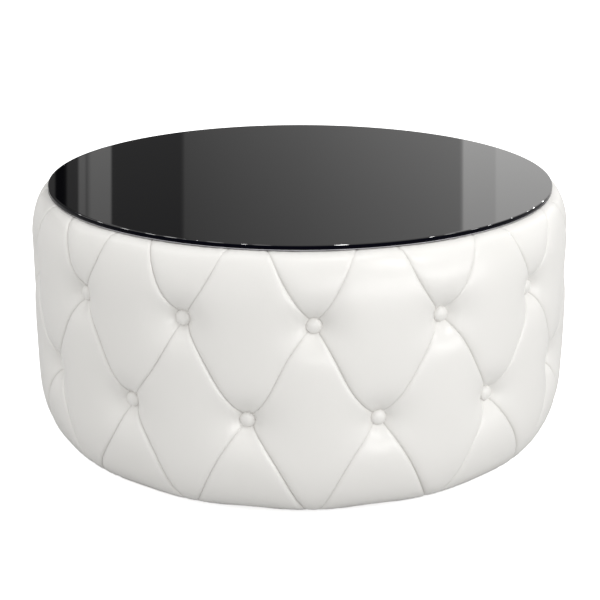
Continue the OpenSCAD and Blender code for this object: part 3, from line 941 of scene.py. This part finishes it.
def make_glass():
    top = GLASS_Z + GLASS_T
    section = rounded([
        (0, top, 0), (GLASS_R - BEVEL - FLAT_EDGE, top, 0), (GLASS_R - BEVEL, top, ARRIS),
        (GLASS_R, top - BEVEL, ARRIS), (GLASS_R, GLASS_Z + LOW_BEVEL, 0),
        (GLASS_R - LOW_BEVEL, GLASS_Z, ARRIS), (GLASS_R - LOW_BEVEL - FLAT_EDGE, GLASS_Z, 0),
        (0, GLASS_Z, 0)])
    obj = turned("glass_disc", section, 360)
    finish_piece(obj, "black_glass", GLASS, "glass_top")
    obj.data.materials.append(glass_edge())
    # The lower bevel's material paints the reflection of the leather below into its colour
    obj.data.materials.append(painted_reflection_bevel())
    heights = np.array([face.center.z for face in obj.data.polygons]) / MM
    edge = (heights > GLASS_Z + LOW_BEVEL) & (heights < top - BEVEL + EDGE_OVER)
    lower_bevel = (heights > GLASS_Z + GROUND_OVER) & (heights < GLASS_Z + LOW_BEVEL)
    obj.data.polygons.foreach_set("material_index", (edge + 2 * lower_bevel).astype(np.int32))


make_glass()

# ---------------------------------------------------------------- top panel: leather over foam

PANEL_R, BOARD_Z, BOARD_T, TURN_IN = 391.7, 397.8, 6.0, 22.0
CROWN, CROWN_R, FLAT_FROM, PANEL_ROUND, LOW_ROUND = 0.7, 340.0, 345.0, 6.0, 1.2
PAD_GAP, BOARD_GAP = 0.15, 0.05   # round the foam pad, under the leather and on the board
# Small pulls from the staples below, on the rounded edge: how many, their depth, from what radius
# and over what length they grow, and how dark the painted shade in them is
PULLS, PULL, PULL_FROM, PULL_FADE, PULL_PAINTED_SHADE = 47, 0.35, 380.0, 10.0, 0.15


def panel_section(inset, top, low):
    """Half section of the crowned panel's face, from its middle to its lower edge."""
    crown = [(r, top + CROWN * math.cos(math.pi / 2 * r / CROWN_R))
             for r in np.linspace(0, CROWN_R, 18)]
    edge = rounded([(FLAT_FROM, top, 0), (PANEL_R - inset, top, PANEL_ROUND - inset),
                    (PANEL_R - inset, low, LOW_ROUND), (FLAT_FROM, low, 0)], 7)
    return crown + edge[1:-1]


def polar(obj):
    """A piece's points, and the angle from the front and the radius in mm of each."""
    co = np.array([v.co for v in obj.data.vertices])
    return co, np.arctan2(co[:, 0], -co[:, 1]), np.hypot(co[:, 0], co[:, 1]) / MM


def make_top_panel():
    face, low = PANEL_Z, BOARD_Z - LEATHER_T
    outer = panel_section(0.0, face, low) + [(PANEL_R - TURN_IN, low), (PANEL_R - TURN_IN, BOARD_Z)]
    inner = panel_section(LEATHER_T, face - LEATHER_T, BOARD_Z)
    cover = turned("top_leather", outer + inner[::-1], 224)
    co, a, r = polar(cover)
    pull = 0.5 + 0.5 * np.cos(PULLS * a + 2 * np.sin(3 * a))
    pull = pull * np.clip((r - PULL_FROM) / PULL_FADE, 0, 1) ** 2
    co[:, :2] *= (1 - PULL * pull / np.maximum(r, 1))[:, None]
    cover.data.vertices.foreach_set("co", co.ravel())
    # Painted shade in the staple pulls
    add_attribute(cover, "painted_shade", PULL_PAINTED_SHADE * pull)
    finish_piece(cover, "white_leatherette", BODY, "top_cover")

    gap, board = LEATHER_T + PAD_GAP, BOARD_Z + BOARD_T + BOARD_GAP
    pad = turned("top_padding", panel_section(gap, face - gap, board) + [(0, board)], 160)
    finish_piece(pad, "foam", BODY, "top_pad")


make_top_panel()

# ---------------------------------------------------------------- dust cover under the base

DUST_SAG, DUST_FLAT, DUST_HEM = 0.5, 8.0, 0.4     # how far it sags, its flat edge and rounded hem
# Ripples between its staples: how many, their height, from what radius and over what length they
# grow, and the length over which they fade to the edge
RIPPLES, RIPPLE, RIPPLE_FROM, RIPPLE_GROW, RIPPLE_FADE = 26, 0.25, 300.0, 60.0, 20.0


def make_dust_cover():
    low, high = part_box("dust_cover")
    edge, top, bottom = high.x / MM, high.z / MM, low.z / MM
    slack = edge - DUST_FLAT
    under = [(r, bottom - DUST_SAG * math.cos(math.pi / 2 * r / slack))
             for r in np.linspace(0, slack, 16)]
    hem = [(edge - DUST_HEM, bottom), (edge, (top + bottom) / 2), (edge - DUST_HEM, top)]
    over = [(r, z + (top - bottom)) for r, z in under]
    cloth = turned("base_cloth", over + hem[::-1] + under[::-1], 168)
    co, a, r = polar(cloth)
    ripple = np.cos(RIPPLES * a + np.sin(5 * a)) * np.clip((r - RIPPLE_FROM) / RIPPLE_GROW, 0, 1)
    ripple = ripple * np.clip((edge - r) / RIPPLE_FADE, 0, 1)
    co[:, 2] += RIPPLE * ripple * MM
    cloth.data.vertices.foreach_set("co", co.ravel())
    finish_piece(cloth, "dust_cloth", BODY, "dust_cover")


make_dust_cover()

# ---------------------------------------------------------------- floor, light and surroundings

FLOOR_R, FLOOR_SIDES = 40.0, 96   # in metres
FLOOR_GLOW, FLOOR_BOUNCE = 0.75, 0.58


def make_stage():
    angles = np.linspace(0, 2 * np.pi, FLOOR_SIDES, endpoint=False)
    corners = [(FLOOR_R * math.cos(a), FLOOR_R * math.sin(a), 0) for a in angles]
    floor = new_object("floor", corners, [list(range(FLOOR_SIDES))], smooth=False)
    s = Shader("floor", (0.93, 0.93, 0.93), 0.9, Specular_IOR_Level=0.1)
    # The floor looks white, but throws only part of that light back at the table
    seen = s.node("ShaderNodeLightPath").outputs["Is Camera Ray"]
    pale = s.mix(s.noise(0.7), (0.92, 0.92, 0.92), (0.94, 0.94, 0.94))
    s.colour(s.mix(seen, (FLOOR_BOUNCE,) * 3, pale))
    s.bsdf.inputs["Emission Color"].default_value = (1, 1, 1, 1)
    s.link(s.maths("MULTIPLY", seen, FLOOR_GLOW), s.bsdf.inputs["Emission Strength"])
    floor.data.materials.append(s.material)


def area_light(name, place, target, size, power, shape="RECTANGLE", gloss_only=False):
    data = bpy.data.lights.new(name, "AREA")
    data.shape, data.size, data.size_y = shape, *size
    data.energy = power
    lamp = bpy.data.objects.new(name, data)
    lamp.location = place
    lamp.rotation_mode = "QUATERNION"
    lamp.rotation_quaternion = (Vector(target) - Vector(place)).to_track_quat("-Z", "Y")
    lamp.visible_camera, lamp.visible_diffuse = False, not gloss_only
    bpy.context.scene.collection.objects.link(lamp)


# What the polished glass mirrors behind the table: upright screens and the gaps between them. Each
# starts at a column of the picture and has a brightness. The wide ones shade into the next.
SCREENS = [(0, 0.10), (55, 0.005), (66, 0.08), (78, 0.30), (85, 0.19), (89, 0.36), (112, 0.07),
           (183, 0.16), (300, 0.26), (461, 0.44), (462, 0.98), (495, 1.15), (600, 1.15)]
WIDE_SCREEN = 90                  # columns
# Sines of the heights above the horizon that they cover, with soft ends, and how far ahead
SCREEN_FROM, SCREEN_FROM_SOFT, SCREEN_TO, SCREEN_TO_SOFT = 0.08, 0.03, 0.42, 0.06
SCREEN_AHEAD, LEAST_AHEAD = (0.3, 0.6), 0.05
SURROUND = 1.03                   # brightness of all else


def make_world():
    world = bpy.data.worlds.new("studio")
    bpy.context.scene.world = world
    world.use_nodes = True
    tree = world.node_tree
    background = tree.nodes["Background"]

    def maths(operation, *values, clamp=False):
        return maths_node(tree, operation, values, clamp)

    def between(value, low, high):
        return maths("DIVIDE", maths("SUBTRACT", value, low), high - low, clamp=True)

    split = tree.nodes.new("ShaderNodeSeparateXYZ")
    tree.links.new(tree.nodes.new("ShaderNodeTexCoord").outputs["Generated"], split.inputs[0])
    x, y, z = split.outputs
    ahead = maths("ADD", maths("MULTIPLY", y, math.cos(CAMERA_ELEVATION)),
                  maths("MULTIPLY", z, math.sin(CAMERA_ELEVATION)))
    aside = maths("DIVIDE", x, maths("MAXIMUM", ahead, LEAST_AHEAD))
    column = maths("ADD", maths("MULTIPLY", aside, FOCAL_PX / FRAME_PX), 0.5)
    ramp = tree.nodes.new("ShaderNodeValToRGB")
    stops = ramp.color_ramp.elements
    soft = 0.5 / FRAME_PX         # half a column
    wanted = []
    for (at, value), (following, _) in zip(SCREENS, SCREENS[1:]):
        wanted += [(at / FRAME_PX + soft, value)]
        if 1 < following - at < WIDE_SCREEN:
            wanted += [(following / FRAME_PX - soft, value)]
    while len(stops) < len(wanted):
        stops.new(1.0)
    for stop, (at, value) in zip(stops, wanted):
        stop.position = min(max(at, 0.0), 1.0)
        stop.color = (value / 2,) * 3 + (1,)
    tree.links.new(column, ramp.inputs["Fac"])
    screens = maths("MULTIPLY", ramp.outputs["Color"], 2.0)
    shown = maths("MULTIPLY", between(z, SCREEN_FROM - SCREEN_FROM_SOFT, SCREEN_FROM),
                  maths("SUBTRACT", 1.0, between(z, SCREEN_TO, SCREEN_TO + SCREEN_TO_SOFT)))
    shown = maths("MULTIPLY", shown, between(ahead, *SCREEN_AHEAD))
    strength = maths("ADD", maths("MULTIPLY", screens, shown),
                     maths("MULTIPLY", SURROUND, maths("SUBTRACT", 1.0, shown)))
    # The camera itself sees a plain backdrop above the floor
    seen = tree.nodes.new("ShaderNodeLightPath").outputs["Is Camera Ray"]
    strength = maths("ADD", seen, maths("MULTIPLY", strength, maths("SUBTRACT", 1.0, seen)))
    background.inputs["Color"].default_value = (1.0, 0.995, 0.985, 1)
    tree.links.new(strength, background.inputs["Strength"])


make_stage()
make_world()
area_light("key", (1.83, -1.96, 2.0), (0, 0, 0.25), (0.8, 0.8), 20.0)
# A low, wide soft box at the front right that only shows as sheen on the pleats' rolled edges, the
# hollows' lower sides and the buttons
area_light("sheen", (2.2, -2.6, 0.5), (0, 0, 0.25), (4.5, 0.6), 36.0, gloss_only=True)

# Small lamps overhead, each placed so that the bevel of the glass glints at a column of the
# picture: the column, the lamp's size in metres and how bright it is. The faint streaks come last.
GLINTS = [(185, 0.05, 30), (197, 0.05, 70), (244, 0.10, 50), (342, 0.22, 60), (432, 0.10, 80),
          (490, 0.16, 30), (512, 0.10, 90), (528, 0.2, 50), (534, 0.3, 60), (543, 0.5, 60),
          (80, 0.3, 8), (100, 0.3, 8), (125, 0.3, 9), (150, 0.3, 9), (170, 0.3, 8),
          (215, 0.3, 4), (262, 0.3, 3), (450, 0.3, 5), (475, 0.3, 8)]
LAMP_Z = 3.0                      # height of the ceiling, in metres


def glint_place(column):
    """Where the view through a column meets the ceiling, by way of the bevel's front half."""
    eye = np.array(bpy.context.scene.camera.location)
    angle = np.radians(np.linspace(-88, 88, 1761))
    r, z = GLASS_R - BEVEL / 2, GLASS_Z + GLASS_T - BEVEL / 2
    rim = np.stack([r * np.sin(angle), -r * np.cos(angle), np.full(angle.shape, z)], 1) * MM
    ray = rim - eye
    ahead = ray[:, 1] * math.cos(CAMERA_ELEVATION) - ray[:, 2] * math.sin(CAMERA_ELEVATION)
    at = np.argmin(np.abs(FRAME_PX / 2 + FOCAL_PX * ray[:, 0] / ahead - column))
    normal = np.array((math.sin(angle[at]), -math.cos(angle[at]), 1.0)) / math.sqrt(2)
    ray = ray[at] / np.linalg.norm(ray[at])
    ray -= 2 * (ray @ normal) * normal
    return rim[at] + ray * (LAMP_Z - rim[at][2]) / ray[2]


for column, size, glow in GLINTS:
    place = glint_place(column)
    area_light(f"lamp_{column}", tuple(place), (place[0], place[1], 0), (size, size),
               glow * math.pi * size ** 2, "DISK", gloss_only=True)

bpy.context.scene.view_settings.view_transform = "Standard"
